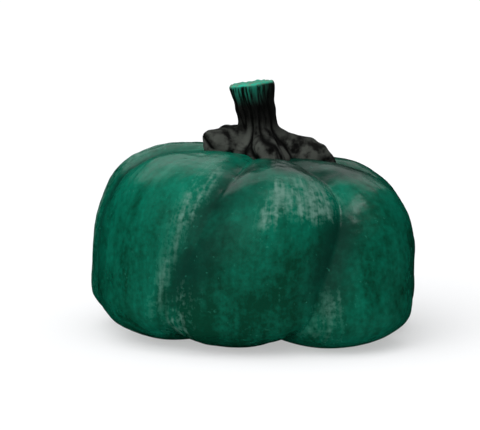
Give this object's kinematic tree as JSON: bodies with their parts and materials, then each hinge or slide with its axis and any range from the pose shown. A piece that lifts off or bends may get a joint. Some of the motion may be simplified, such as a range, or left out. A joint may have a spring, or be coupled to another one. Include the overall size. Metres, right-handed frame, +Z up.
{
  "type": "kabocha squash",
  "caption": "Whole kabocha squash: a squat, lobed, hard-rinded fruit that stands on its lobes, with its dry corky stem still on the crown.",
  "frame": {"origin": "on the surface that the squash stands on, under the middle of its box", "axes": "+Z up, from the blossom end to the crown; -Y is the front, the broad lobe that the picture shows; +X is to the right of that view, the side that the crown leans to"},
  "size_m": [0.1838, 0.1764, 0.1416],
  "materials": {
    "rind": "satin",
    "cork": "matte"
  },
  "bodies": {
    "root": {"fruit": "rind", "stem": "cork"}
  },
  "joints": []
}
